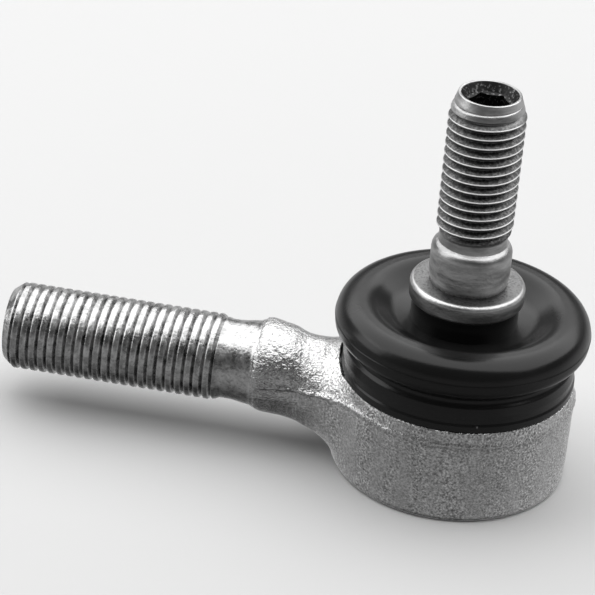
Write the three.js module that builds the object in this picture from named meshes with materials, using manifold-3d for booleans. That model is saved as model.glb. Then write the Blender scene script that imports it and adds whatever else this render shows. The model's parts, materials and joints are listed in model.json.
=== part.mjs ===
// A tie rod end: a forged housing with a threaded shank, a ball stud that swings and turns in it,
// the bearing and its spring under a pressed cover, and the rubber dust boot with its two rings.
// Millimetres, +Z up. The origin is the middle of the cover's flat pad, on the housing's lower face.
// The shank points along -X, and the ball stud stands along +Z.

import * as THREE from 'three';
import { mergeVertices } from 'three/addons/utils/BufferGeometryUtils.js';
import Module from 'manifold-3d';

const wasm = await Module();
wasm.setup();

// ---- Driving dimensions -------------------------------------------------------------------

const GAP = 0.3; // clearance between neighbouring pieces
const ROUND_SEGMENTS = 32;
const INNER_SEGMENTS = 24; // for the pieces inside the housing and the boot
const THREAD_SEGMENTS = 12; // facets in one turn of a thread
const ENVELOPE_MARGIN = 0.3; // how far a thread's outer envelope stands clear of its crests

// Ball joint
const BALL_CENTRE_Z = 13;
const BALL_RADIUS = 9.5;
const BALL_FLAT_Z = 5.7; // the flat under the ball
const STUD_NECK_RADIUS = 5.5;
const SEAT_RADIUS = BALL_RADIUS + 0.25; // hollow of both bearing seats
const SEAT_OPENING_ANGLE = THREE.MathUtils.degToRad(57.5); // from +Z to the upper seat's edge
const SEAT_HOLE_RADIUS = 5; // through the lower seat

// Ball stud, M12 x 1.5, right-handed
const FLANGE_RADIUS = 9;
const FLANGE_BOTTOM_Z = 29.7;
const FLANGE_TOP_Z = 32.7;
const FLANGE_FILLET = 0.8;
const PILOT_RADIUS = 6.3;
const PILOT_TOP_Z = 39.1;
const PILOT_FILLET = 1.1;
const UNDERCUT_RADIUS = 5.3;
const STUD_THREAD = { majorRadius: 6, pitch: 1.5, hand: 1 };
const STUD_THREAD_START_Z = 41;
const STUD_CREST_Z = 59.5; // a crest passes here on the -Y side
const STUD_LEAD_IN_Z = 62.3;
const STUD_TIP_Z = 64.7;
const STUD_TIP_RADIUS = 4.8;
const HEX_ACROSS_FLATS = 6;
const HEX_DEPTH = 6;
const HEX_ENTRY_RADIUS = 4.3;
const HEX_ENTRY_DEPTH = 1.1;

// Housing
const WALL_RADIUS_LOW = 18.7;
const WALL_RADIUS_HIGH = 18.9;
const WALL_BOTTOM_FILLET = 1;
const WALL_TOP_Z = 13.9; // the wall leans in above this height
const BOOT_SEAT_Z = 16.2; // the boot's lower lip stands on this face
const COLLAR_RADIUS = 15; // the collar inside the boot's lower lip
const COLLAR_TOP_Z = 20.5;
const COLLAR_CHAMFER = 0.6;
const BORE_RADIUS = 12.8;
const BORE_TOP_Z = 14.6;
const THROAT_RADIUS = 9.2;
const THROAT_BOTTOM_Z = 18.6;
const LIP_INNER_RADIUS = 11.2; // the rim rolled in under the cover
const LIP_THICKNESS = 0.6;

// Shank, M14 x 1.5, left-handed
const SHANK_AXIS_Z = 11.8;
const SHANK_THREAD = { majorRadius: 7, pitch: 1.5, hand: -1 };
const SHANK_END_X = -72.6;
const SHANK_END_RADIUS = 5.8;
const SHANK_THREAD_STOP_X = -36.6;
const SHANK_RELIEF_RADIUS = 6.4;
const NECK_START_X = -31.6;

// Bearing stack under the ball, from the cover up
const COVER_THICKNESS = 1.2;
const COVER_RIM_Z = LIP_THICKNESS + GAP;
const COVER_RADIUS = BORE_RADIUS - GAP;
const COVER_PAD_RADIUS = 8.4;
const SPRING_THICKNESS = 0.5;
const PLATE_RADIUS = 11.5;
const PLATE_BOTTOM_Z = 2.95;
const PLATE_TOP_Z = 3.65;
const LOWER_SEAT_BOTTOM_Z = 3.95;

// Dust boot
const BOOT_BULGE_RADIUS = 20;
const BOOT_BULGE_Z = 25.3;
const BOOT_BULGE_TUBE = 3.3; // outer radius of the bulge's own round section
const BOOT_BULGE_HOLLOW = 1.8; // and of the hollow inside it
const BOOT_LIP_RADIUS = 18.45;
const BOOT_WAIST_RADIUS = 17.1;
const BOOT_CUFF_RADIUS = 8.4;
const BOOT_BORE_RADIUS = STUD_NECK_RADIUS + GAP;

// The grooves inside the boot's lip and cuff, each with a ring in it
const LIP_GROOVE = { radius: 16.8, bottomZ: 17.3, topZ: 19 };
const CUFF_GROOVE = { radius: 7.2, bottomZ: 27.3, topZ: 28.9 };

// ---- Materials ----------------------------------------------------------------------------

function material(color, roughness, metalness) {
  return new THREE.MeshStandardMaterial({ color, roughness, metalness });
}

const zincSteel = () => material(0xb4b4b2, 0.42, 1);
const turnedSteel = () => material(0x9a9a98, 0.35, 1);
const springSteel = () => material(0x6e6f72, 0.4, 1);
const acetal = () => material(0xe8e4d8, 0.5, 0);
const rubber = () => material(0x101011, 0.45, 0);

// ---- Geometry helpers ---------------------------------------------------------------------

function toSolid(geometry) {
  const bare = geometry.clone();
  bare.deleteAttribute('normal');
  bare.deleteAttribute('uv');
  const merged = mergeVertices(bare, 1e-5);
  return new wasm.Manifold(new wasm.Mesh({
    numProp: 3,
    vertProperties: new Float32Array(merged.attributes.position.array),
    triVerts: new Uint32Array(merged.index.array),
  }));
}

function toGeometry(solid) {
  const mesh = solid.getMesh();
  const geometry = new THREE.BufferGeometry();
  geometry.setAttribute('position', new THREE.BufferAttribute(new Float32Array(mesh.vertProperties), 3));
  geometry.setIndex(new THREE.BufferAttribute(new Uint32Array(mesh.triVerts), 1));
  geometry.computeVertexNormals();
  return geometry;
}

// Turns a profile of (radius, z) about the Z axis. The profile runs upwards on its outer side.
function turned(profile, segments = ROUND_SEGMENTS) {
  const points = profile.map(([radius, z]) => new THREE.Vector2(radius, z));
  const geometry = new THREE.LatheGeometry(points, segments);
  geometry.rotateX(Math.PI / 2);
  return geometry;
}

// Turns a closed loop of (radius, z), anticlockwise with radius to the right and z up.
function ring(loop, segments = INNER_SEGMENTS) {
  return turned([...loop, loop[0]], segments);
}

// Points of a circular arc in the (radius, z) plane, angles in degrees from the +radius side.
function arc(centreRadius, centreZ, radius, startDegrees, endDegrees, steps) {
  const points = [];
  for (let step = 0; step <= steps; step += 1) {
    const angle = THREE.MathUtils.degToRad(THREE.MathUtils.lerp(startDegrees, endDegrees, step / steps));
    points.push([centreRadius + radius * Math.cos(angle), centreZ + radius * Math.sin(angle)]);
  }
  return points;
}

// Lays a solid that was turned about Z along the shank, with its z = 0 end at the shank's free end.
function layAlongShank(geometry) {
  geometry.rotateY(Math.PI / 2);
  geometry.translate(SHANK_END_X, 0, SHANK_AXIS_Z);
  return geometry;
}

// A screw-threaded bar about the Z axis. Four profile points per turn follow one helix, a crest
// starts at angle 0 and z = 0, and each end is closed by a fan about the axis.
function threadedBar({ majorRadius, pitch, hand }, turns) {
  const depth = 0.6134 * pitch;
  const profile = [
    [0, majorRadius],
    [1 / 8, majorRadius],
    [7 / 16, majorRadius - depth],
    [11 / 16, majorRadius - depth],
  ];
  const perTurn = THREAD_SEGMENTS;
  const last = turns * perTurn;
  const positions = [];
  for (let step = 0; step <= last; step += 1) {
    const angle = (hand * 2 * Math.PI * step) / perTurn;
    for (const [along, radius] of profile) {
      positions.push(radius * Math.cos(angle), radius * Math.sin(angle), pitch * (step / perTurn + along));
    }
  }
  const at = (step, corner) => (corner < profile.length
    ? step * profile.length + corner
    : (step + perTurn) * profile.length);
  const index = [];
  const face = (a, b, c) => index.push(...(hand > 0 ? [a, b, c] : [a, c, b]));
  for (let step = 0; step < last; step += 1) {
    for (let corner = 0; corner < profile.length; corner += 1) {
      if (corner < profile.length - 1 || step + perTurn < last) {
        face(at(step, corner), at(step + 1, corner), at(step + 1, corner + 1));
        face(at(step, corner), at(step + 1, corner + 1), at(step, corner + 1));
      }
    }
  }
  const lastCorner = profile.length - 1;
  const lowLoop = [];
  const highLoop = [];
  for (let step = 0; step <= perTurn; step += 1) {
    lowLoop.push(at(step, 0));
    highLoop.push(at(last - perTurn + step, lastCorner));
  }
  for (let corner = lastCorner; corner > 0; corner -= 1) {
    lowLoop.push(at(0, corner));
    highLoop.push(at(last, corner - 1));
  }
  const lowCentre = positions.length / 3;
  positions.push(0, 0, pitch / 2);
  const highCentre = lowCentre + 1;
  positions.push(0, 0, pitch * (turns + 1 / 4));
  for (let i = 0; i < lowLoop.length; i += 1) {
    face(lowCentre, lowLoop[(i + 1) % lowLoop.length], lowLoop[i]);
    face(highCentre, highLoop[i], highLoop[(i + 1) % highLoop.length]);
  }
  const geometry = new THREE.BufferGeometry();
  geometry.setAttribute('position', new THREE.Float32BufferAttribute(positions, 3));
  geometry.setIndex(index);
  return geometry;
}

// Skins a row of sections, each with the same number of points, and closes both ends.
function loft(sections) {
  const count = sections[0].length;
  const positions = sections.flat().flatMap((point) => point.toArray());
  const index = [];
  for (let row = 0; row < sections.length - 1; row += 1) {
    for (let i = 0; i < count; i += 1) {
      const a = row * count + i;
      const b = row * count + ((i + 1) % count);
      index.push(a, b, b + count, a, b + count, a + count);
    }
  }
  const lastRow = (sections.length - 1) * count;
  for (let i = 1; i < count - 1; i += 1) {
    index.push(0, i + 1, i, lastRow, lastRow + i, lastRow + i + 1);
  }
  const geometry = new THREE.BufferGeometry();
  geometry.setAttribute('position', new THREE.Float32BufferAttribute(positions, 3));
  geometry.setIndex(index);
  return geometry;
}

// ---- Housing ------------------------------------------------------------------------------

// The forged neck between the shank and the cup: superelliptic sections across X. Each row is x,
// the half width, the heights above and below the shank's axis, and the squareness.
function neck() {
  const stations = [
    [NECK_START_X, 6.5, 6.5, 6.5, 2],
    [-31.1, 7.3, 7.5, 7.4, 2],
    [-28.6, 7.2, 7.4, 7.7, 2.1],
    [-26.1, 6.8, 6.8, 7.8, 2.3],
    [-24.2, 6.8, 6.1, 8.2, 2.4],
    [-21, 7.9, 5.7, 9.0, 2.6],
    [-19, 8.9, 4.3, 9.5, 2.9],
    [-17, 10.1, 4.3, 10.0, 3.1],
    [-13, 12.4, 4.3, 10.6, 3.2],
    [-8, 14, 4.3, 10.8, 3.4],
  ];
  const count = 28;
  const sections = stations.map(([x, halfWidth, above, below, squareness]) => {
    const points = [];
    for (let i = 0; i < count; i += 1) {
      const angle = (2 * Math.PI * i) / count;
      const across = Math.cos(angle);
      const up = Math.sin(angle);
      const y = halfWidth * Math.sign(across) * Math.abs(across) ** (2 / squareness);
      const z = (up > 0 ? above : below) * Math.sign(up) * Math.abs(up) ** (2 / squareness);
      points.push(new THREE.Vector3(x, y, SHANK_AXIS_Z + z));
    }
    return points;
  });
  return loft(sections);
}

function shank() {
  const { majorRadius, pitch } = SHANK_THREAD;
  const threadLength = SHANK_THREAD_STOP_X - SHANK_END_X;
  const reliefLength = NECK_START_X + 1 - SHANK_END_X;
  const envelope = turned([
    [0, 0],
    [SHANK_END_RADIUS, 0],
    [majorRadius + ENVELOPE_MARGIN, 2],
    [majorRadius + ENVELOPE_MARGIN, threadLength - 1.4],
    [SHANK_RELIEF_RADIUS - 0.2, threadLength],
    [0, threadLength],
  ]);
  const bar = threadedBar(SHANK_THREAD, Math.ceil(threadLength / pitch) + 2);
  bar.rotateZ(Math.PI);
  bar.translate(0, 0, -pitch);
  const relief = turned([
    [0, threadLength - 2],
    [SHANK_RELIEF_RADIUS, threadLength - 2],
    [SHANK_RELIEF_RADIUS, reliefLength],
    [0, reliefLength],
  ]);
  const thread = toSolid(layAlongShank(bar)).intersect(toSolid(layAlongShank(envelope)));
  return thread.add(toSolid(layAlongShank(relief)));
}

function cup() {
  return turned([
    [0, 0],
    ...arc(WALL_RADIUS_LOW - WALL_BOTTOM_FILLET, WALL_BOTTOM_FILLET, WALL_BOTTOM_FILLET, -90, 0, 4),
    [WALL_RADIUS_HIGH, WALL_TOP_Z],
    [BOOT_LIP_RADIUS, BOOT_SEAT_Z],
    [COLLAR_RADIUS, BOOT_SEAT_Z],
    [COLLAR_RADIUS, COLLAR_TOP_Z - COLLAR_CHAMFER],
    [COLLAR_RADIUS - COLLAR_CHAMFER, COLLAR_TOP_Z],
    [0, COLLAR_TOP_Z],
  ]);
}

function housingHollow() {
  const belowBase = -1;
  const aboveTop = COLLAR_TOP_Z + 1;
  return turned([
    [0, belowBase],
    [LIP_INNER_RADIUS, belowBase],
    [LIP_INNER_RADIUS, LIP_THICKNESS],
    [BORE_RADIUS, LIP_THICKNESS],
    [BORE_RADIUS, BORE_TOP_Z],
    [THROAT_RADIUS, THROAT_BOTTOM_Z],
    [THROAT_RADIUS, aboveTop],
    [0, aboveTop],
  ]);
}

function housing() {
  const forging = toSolid(cup()).add(toSolid(neck())).add(shank());
  return toGeometry(forging.subtract(toSolid(housingHollow())));
}

// ---- Ball stud ----------------------------------------------------------------------------

function ballStud() {
  const ballFlatAngle = THREE.MathUtils.radToDeg(Math.asin((BALL_FLAT_Z - BALL_CENTRE_Z) / BALL_RADIUS));
  const ballNeckAngle = THREE.MathUtils.radToDeg(Math.acos(STUD_NECK_RADIUS / BALL_RADIUS));
  const { majorRadius, pitch } = STUD_THREAD;
  const lowerBody = turned([
    [0, BALL_FLAT_Z],
    ...arc(0, BALL_CENTRE_Z, BALL_RADIUS, ballFlatAngle, ballNeckAngle, 12),
    [STUD_NECK_RADIUS, FLANGE_BOTTOM_Z],
    [FLANGE_RADIUS, FLANGE_BOTTOM_Z],
    ...arc(FLANGE_RADIUS - FLANGE_FILLET, FLANGE_TOP_Z - FLANGE_FILLET, FLANGE_FILLET, 0, 90, 3),
    [PILOT_RADIUS + 0.4, FLANGE_TOP_Z],
    [PILOT_RADIUS, FLANGE_TOP_Z + 0.4],
    ...arc(PILOT_RADIUS - PILOT_FILLET, PILOT_TOP_Z - PILOT_FILLET, PILOT_FILLET, 0, 80, 4),
    [UNDERCUT_RADIUS, PILOT_TOP_Z + 0.7],
    [UNDERCUT_RADIUS, STUD_THREAD_START_Z + 0.5],
    [0, STUD_THREAD_START_Z + 0.5],
  ]);
  const envelope = turned([
    [0, STUD_THREAD_START_Z],
    [UNDERCUT_RADIUS, STUD_THREAD_START_Z],
    [majorRadius + ENVELOPE_MARGIN, STUD_THREAD_START_Z + 1],
    [majorRadius + ENVELOPE_MARGIN, STUD_LEAD_IN_Z - 2],
    [5.4, STUD_LEAD_IN_Z],
    [0, STUD_LEAD_IN_Z],
  ]);
  const turns = Math.ceil((STUD_TIP_Z - STUD_THREAD_START_Z) / pitch) + 2;
  const bar = threadedBar(STUD_THREAD, turns);
  bar.rotateZ(-Math.PI / 2);
  const turnsBelowCrest = Math.ceil((STUD_CREST_Z - STUD_THREAD_START_Z) / pitch) + 1;
  bar.translate(0, 0, STUD_CREST_Z - pitch * (turnsBelowCrest + 1 / 16));
  const leadIn = turned([
    [0, STUD_LEAD_IN_Z - 2],
    [UNDERCUT_RADIUS - 0.3, STUD_LEAD_IN_Z - 2],
    [5.5, STUD_LEAD_IN_Z],
    [STUD_TIP_RADIUS, STUD_TIP_Z],
    [0, STUD_TIP_Z],
  ]);
  const thread = toSolid(bar).intersect(toSolid(envelope));
  const blank = toSolid(lowerBody).add(thread).add(toSolid(leadIn));
  return toGeometry(blank.subtract(hexSocket()));
}

// The hexagon socket in the stud's tip, with its countersunk entry.
function hexSocket() {
  const cornerRadius = HEX_ACROSS_FLATS / Math.sqrt(3);
  const socketTop = STUD_TIP_Z + 1;
  const entryBottom = STUD_TIP_Z - HEX_ENTRY_DEPTH;
  const socket = turned([
    [0, entryBottom - HEX_DEPTH],
    [cornerRadius, entryBottom - HEX_DEPTH],
    [cornerRadius, socketTop],
    [0, socketTop],
  ], 6);
  const entry = turned([
    [0, entryBottom],
    [HEX_ACROSS_FLATS / 2, entryBottom],
    [HEX_ENTRY_RADIUS, STUD_TIP_Z],
    [HEX_ENTRY_RADIUS, socketTop],
    [0, socketTop],
  ]);
  return toSolid(socket).add(toSolid(entry));
}

// ---- Bearing and cover --------------------------------------------------------------------

function upperBearingSeat() {
  const openingDegrees = 90 - THREE.MathUtils.radToDeg(SEAT_OPENING_ANGLE);
  const outerRadius = BORE_RADIUS - GAP;
  const topRadius = THROAT_RADIUS + 0.2;
  const topZ = BALL_CENTRE_Z + SEAT_RADIUS * Math.cos(SEAT_OPENING_ANGLE);
  return ring([
    [outerRadius, BALL_CENTRE_Z + GAP / 2],
    [outerRadius, BORE_TOP_Z - 0.2],
    [topRadius, THROAT_BOTTOM_Z - 0.75],
    [topRadius - 0.4, topZ],
    ...arc(0, BALL_CENTRE_Z, SEAT_RADIUS, openingDegrees, 1, 6),
  ]);
}

function lowerBearingSeat() {
  const holeDegrees = -THREE.MathUtils.radToDeg(Math.acos(SEAT_HOLE_RADIUS / SEAT_RADIUS));
  const outerRadius = BORE_RADIUS - GAP;
  return ring([
    [SEAT_HOLE_RADIUS, LOWER_SEAT_BOTTOM_Z],
    [outerRadius, LOWER_SEAT_BOTTOM_Z],
    [outerRadius, BALL_CENTRE_Z - GAP / 2],
    ...arc(0, BALL_CENTRE_Z, SEAT_RADIUS, -1, holeDegrees, 8),
  ]);
}

function pressurePlate() {
  return turned([
    [0, PLATE_BOTTOM_Z],
    [PLATE_RADIUS - 0.3, PLATE_BOTTOM_Z],
    [PLATE_RADIUS, PLATE_TOP_Z],
    [0, PLATE_TOP_Z],
  ], INNER_SEGMENTS);
}

// A conical disc spring between the cover's pad and the pressure plate.
function preloadSpring() {
  const inner = { radius: 4, z: COVER_THICKNESS + GAP };
  const outer = { radius: 8, z: PLATE_BOTTOM_Z - GAP - SPRING_THICKNESS };
  return ring([
    [inner.radius, inner.z],
    [outer.radius, outer.z],
    [outer.radius, outer.z + SPRING_THICKNESS],
    [inner.radius, inner.z + SPRING_THICKNESS],
  ]);
}

// A pressed cover: its flat pad stands out to the housing's lower face, its rim sits behind the lip.
function endCover() {
  return turned([
    [0, 0],
    ...arc(COVER_PAD_RADIUS - 0.5, 0.5, 0.5, -90, 0, 3),
    [COVER_PAD_RADIUS + 0.4, COVER_RIM_Z],
    [COVER_RADIUS, COVER_RIM_Z],
    [COVER_RADIUS, COVER_RIM_Z + COVER_THICKNESS],
    [COVER_PAD_RADIUS, COVER_RIM_Z + COVER_THICKNESS],
    [COVER_PAD_RADIUS - 0.4, COVER_THICKNESS],
    [0, COVER_THICKNESS],
  ], INNER_SEGMENTS);
}

function coverSeal() {
  const top = LOWER_SEAT_BOTTOM_Z - GAP;
  const bottom = COVER_RIM_Z + COVER_THICKNESS + GAP;
  const middle = (top + bottom) / 2;
  const outerRadius = BORE_RADIUS - GAP;
  const innerRadius = outerRadius - 0.6;
  return ring([
    [innerRadius, middle - 0.3],
    [innerRadius + 0.2, bottom],
    [outerRadius - 0.2, bottom],
    [outerRadius, middle - 0.3],
    [outerRadius, middle + 0.3],
    [outerRadius - 0.2, top],
    [innerRadius + 0.2, top],
    [innerRadius, middle + 0.3],
  ]);
}

// ---- Dust boot ----------------------------------------------------------------------------

// The boot's lower lip grips the housing's collar with a ring in its inner groove, the wall bulges
// over it, and the cuff grips the stud's neck under the flange with a second ring.
function dustBoot() {
  const lipBottomZ = BOOT_SEAT_Z + GAP;
  const lipInnerRadius = COLLAR_RADIUS + GAP;
  const cuffTopZ = FLANGE_BOTTOM_Z - GAP;
  const bulgeCentreRadius = BOOT_BULGE_RADIUS - BOOT_BULGE_TUBE;
  return ring([
    [lipInnerRadius, lipBottomZ],
    ...arc(BOOT_LIP_RADIUS - 0.5, lipBottomZ + 0.5, 0.5, -90, 0, 2),
    ...arc(BOOT_LIP_RADIUS - 0.6, 19.4, 0.6, 0, 90, 2),
    [BOOT_WAIST_RADIUS, 20.8],
    [BOOT_WAIST_RADIUS, 21.6],
    ...arc(bulgeCentreRadius, BOOT_BULGE_Z, BOOT_BULGE_TUBE, -50, 115, 8),
    [12.4, 26.9],
    [10.4, 26.1],
    [BOOT_CUFF_RADIUS, 26.3],
    [BOOT_CUFF_RADIUS, cuffTopZ - 0.3],
    [BOOT_CUFF_RADIUS - 0.3, cuffTopZ],
    [BOOT_BORE_RADIUS, cuffTopZ],
    [BOOT_BORE_RADIUS, CUFF_GROOVE.topZ],
    [CUFF_GROOVE.radius, CUFF_GROOVE.topZ],
    [CUFF_GROOVE.radius, CUFF_GROOVE.bottomZ],
    [BOOT_BORE_RADIUS, CUFF_GROOVE.bottomZ],
    [BOOT_BORE_RADIUS, 24.9],
    [10.2, 24.4],
    [13, 25.4],
    ...arc(bulgeCentreRadius, BOOT_BULGE_Z, BOOT_BULGE_HOLLOW, 110, -50, 5),
    [15.7, 21.8],
    [lipInnerRadius, 20.2],
    [lipInnerRadius, LIP_GROOVE.topZ],
    [LIP_GROOVE.radius, LIP_GROOVE.topZ],
    [LIP_GROOVE.radius, LIP_GROOVE.bottomZ],
    [lipInnerRadius, LIP_GROOVE.bottomZ],
  ], ROUND_SEGMENTS);
}

// A flat ring that lies in one of the boot's grooves with a gap all round.
function ringInGroove(groove, innerRadius) {
  return ring([
    [innerRadius, groove.bottomZ + GAP],
    [groove.radius - GAP, groove.bottomZ + GAP],
    [groove.radius - GAP, groove.topZ - GAP],
    [innerRadius, groove.topZ - GAP],
  ]);
}

function bootLowerRing() {
  return ringInGroove(LIP_GROOVE, COLLAR_RADIUS + GAP);
}

function bootUpperRing() {
  return ringInGroove(CUFF_GROOVE, STUD_NECK_RADIUS + GAP + 0.2);
}

// ---- Assembly -----------------------------------------------------------------------------

const group = new THREE.Group();

function place(name, geometry, finish) {
  const mesh = new THREE.Mesh(geometry, finish);
  mesh.name = name;
  group.add(mesh);
}

place('housing', housing(), zincSteel());
place('ball_stud', ballStud(), turnedSteel());
place('upper_bearing_seat', upperBearingSeat(), acetal());
place('lower_bearing_seat', lowerBearingSeat(), acetal());
place('pressure_plate', pressurePlate(), springSteel());
place('preload_spring', preloadSpring(), springSteel());
place('end_cover', endCover(), zincSteel());
place('cover_seal', coverSeal(), rubber());
place('dust_boot', dustBoot(), rubber());
place('boot_lower_ring', bootLowerRing(), springSteel());
place('boot_upper_ring', bootUpperRing(), springSteel());

export default group;
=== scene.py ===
"""Blender looks for a tie rod end: a zinc-plated forged housing with a left-hand threaded shank, a
ball stud with a right-hand thread and a hexagon socket, and a moulded rubber dust boot.

Shapes are worked out in millimetres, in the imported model's own frame, and scaled to metres when
their meshes are made. The housing is a distance field turned into a mesh, and the round pieces
are profiles turned about the stud's axis.
"""

import json
import math

import bmesh
import bpy
import numpy as np
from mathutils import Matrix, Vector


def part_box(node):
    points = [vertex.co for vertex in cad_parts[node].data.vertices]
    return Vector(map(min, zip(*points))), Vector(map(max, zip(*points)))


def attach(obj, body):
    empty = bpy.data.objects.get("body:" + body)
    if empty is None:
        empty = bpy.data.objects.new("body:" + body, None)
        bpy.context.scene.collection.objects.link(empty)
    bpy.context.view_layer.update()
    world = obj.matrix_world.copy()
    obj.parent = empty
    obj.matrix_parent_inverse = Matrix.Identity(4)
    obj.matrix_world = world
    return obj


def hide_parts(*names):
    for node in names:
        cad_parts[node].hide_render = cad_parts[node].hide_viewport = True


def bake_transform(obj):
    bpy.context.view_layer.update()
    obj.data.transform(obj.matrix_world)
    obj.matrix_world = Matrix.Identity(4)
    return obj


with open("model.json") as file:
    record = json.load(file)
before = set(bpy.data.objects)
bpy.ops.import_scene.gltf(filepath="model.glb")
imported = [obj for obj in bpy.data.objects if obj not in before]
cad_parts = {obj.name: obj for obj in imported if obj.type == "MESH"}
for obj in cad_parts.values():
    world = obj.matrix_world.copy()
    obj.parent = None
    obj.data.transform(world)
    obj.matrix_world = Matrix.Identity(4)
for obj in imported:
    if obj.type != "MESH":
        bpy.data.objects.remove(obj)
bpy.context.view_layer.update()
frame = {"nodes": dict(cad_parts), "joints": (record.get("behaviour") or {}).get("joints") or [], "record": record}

import openvdb
from mathutils import Matrix, Vector


# ---- Sizes, in millimetres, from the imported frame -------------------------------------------

MM = 0.001


def node_box(node):
    """A CAD node's low and high corner in millimetres."""
    low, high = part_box(node)
    return np.array(low) / MM, np.array(high) / MM


def mount_point(name):
    """Where a mount of the record lies, in millimetres."""
    mounts = {mount["name"]: mount for mount in frame["record"]["mounts"]}
    return np.array(mounts[name]["pos_m"]) / MM


HOUSING_HIGH = node_box("housing")[1]
STUD_LOW, STUD_HIGH = node_box("ball_stud")
BOOT_LOW = node_box("dust_boot")[0]
COVER_LOW, COVER_HIGH = node_box("end_cover")
BALL_CENTRE_Z = frame["joints"][0]["pos_m"][2] / MM

WALL_RADIUS = HOUSING_HIGH[0]
COLLAR_TOP_Z = HOUSING_HIGH[2]
BOOT_SEAT_Z = BOOT_LOW[2] - 0.3
COLLAR_RADIUS = 15.0
BORE_RADIUS = 12.8
BORE_TOP_Z = 14.6
THROAT_RADIUS = 9.2
THROAT_BOTTOM_Z = 18.6
ROLLED_LIP_RADIUS = 11.2
ROLLED_LIP_TOP_Z = 0.6
SEAT_GROOVE = 0.12  # from the boot's lip to the wall round it
SEAT_WALL_SLOPE = 12  # how steeply that wall rises

SHANK_END_X, _, SHANK_AXIS_Z = mount_point("shank_end_face")
SHANK_RADIUS = 7.0
SHANK_RELIEF_RADIUS = 6.4
SHANK_END_RADIUS = 5.8
SHANK_END_SLOPE = 0.8  # how fast the radius grows from the free end
SHANK_THREAD_DEPTH = 0.66
SHANK_THREAD_ROUNDNESS = 4.0
SHANK_THREAD_STOP_X = -36.6
SHANK_RUN_OUT = 2.2  # over this length the thread fades into the relief
SHANK_PLUG = 0.5  # how far the threaded bar reaches into the forging
NECK_START_X = -31.6
RELIEF_FLARE = 0.45  # how much the relief widens up to the neck

STUD_RADIUS = 6.0
STUD_TIP_Z = STUD_HIGH[2]
STUD_THREAD_END_Z = 63.7
STUD_TIP_RADIUS = 4.78
STUD_LEAD_IN_SLOPE = 0.35  # how fast the radius grows down from the tip
STUD_CREST_Z = 59.5  # a crest passes this height on the -Y side
STUD_THREAD_START_Z = 41.0
STUD_THREAD_DEPTH = 0.92
STUD_THREAD_ROUNDNESS = 1.05
STUD_RUN_IN = 1.6  # over this length the thread rises out of the undercut
UNDERCUT_RADIUS = 5.3
BALL_RADIUS = 9.5
NECK_RADIUS = 5.5
FLANGE_RADIUS = 9.0
FLANGE_TOP_Z = mount_point("stud_seat_face")[2]
FLANGE_BOTTOM_Z = FLANGE_TOP_Z - 3.0
PILOT_RADIUS = 6.3
PILOT_TOP_Z = 39.1
HEX_ACROSS_FLATS = 6.0
SOCKET_RIM_RADIUS = 4.4
SOCKET_RIM_Z = STUD_TIP_Z - 0.1
SOCKET_ENTRY_RADIUS = 3.5
SOCKET_ENTRY_Z = STUD_TIP_Z - 1.5
SOCKET_FLOOR_Z = STUD_TIP_Z - 7.1
THREAD_PITCH = 1.5

BULGE_RADIUS = 20.0
BULGE_Z = 25.3
BULGE_TUBE = 3.3
BOOT_LIP_RADIUS = 18.45
WAIST_RADIUS = 17.1
CUFF_RADIUS = 8.4
CUFF_BORE_RADIUS = NECK_RADIUS + 0.1
BEND_TOP_Z = 27.2

# ---- Camera ---------------------------------------------------------------------------------

VIEW_TARGET = Vector((-26.37, 0.0, 24.83)) * MM
VIEW_DISTANCE = 430.4 * MM
VIEW_ELEVATION = math.radians(29.45)
VIEW_AZIMUTH = math.radians(8.375)  # from -Y towards +X
VIEW_ROLL = math.radians(4.85)
VIEW_LENS = 165.4  # on a 36 mm sensor


def add_camera():
    """The camera, aimed at the view target and turned about its own axis by the roll."""
    data = bpy.data.cameras.new("camera")
    data.lens = VIEW_LENS
    data.sensor_width = 36
    data.clip_start = 0.01
    data.clip_end = 20
    camera = bpy.data.objects.new("camera", data)
    bpy.context.scene.collection.objects.link(camera)
    back = Vector((
        math.sin(VIEW_AZIMUTH) * math.cos(VIEW_ELEVATION),
        -math.cos(VIEW_AZIMUTH) * math.cos(VIEW_ELEVATION),
        math.sin(VIEW_ELEVATION),
    ))
    level_right = Vector((0, 0, 1)).cross(back).normalized()
    level_up = back.cross(level_right)
    right = level_right * math.cos(VIEW_ROLL) + level_up * math.sin(VIEW_ROLL)
    up = back.cross(right)
    turn = Matrix((right, up, back)).transposed().to_4x4()
    camera.matrix_world = Matrix.Translation(VIEW_TARGET + back * VIEW_DISTANCE) @ turn
    bpy.context.scene.camera = camera


add_camera()

# ---- Mesh helpers ---------------------------------------------------------------------------

SHARP_ANGLE = math.radians(38)


def finish_mesh(name, graph):
    """Makes an object from a bmesh in millimetres: scaled to metres, facing out, smooth."""
    bmesh.ops.remove_doubles(graph, verts=graph.verts, dist=1e-4)
    bmesh.ops.dissolve_degenerate(graph, edges=graph.edges, dist=1e-5)
    bmesh.ops.recalc_face_normals(graph, faces=graph.faces)
    bmesh.ops.scale(graph, vec=(MM, MM, MM), verts=graph.verts)
    mesh = bpy.data.meshes.new(name)
    graph.to_mesh(mesh)
    graph.free()
    mesh.polygons.foreach_set("use_smooth", [True] * len(mesh.polygons))
    mesh.set_sharp_from_angle(angle=SHARP_ANGLE)
    piece = bpy.data.objects.new(name, mesh)
    bpy.context.scene.collection.objects.link(piece)
    return piece


def graph_from(points, faces):
    """A bmesh from points and lists of their indices."""
    mesh = bpy.data.meshes.new("draft")
    mesh.from_pydata([tuple(point) for point in points], [], faces)
    graph = bmesh.new()
    graph.from_mesh(mesh)
    bpy.data.meshes.remove(mesh)
    return graph


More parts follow.
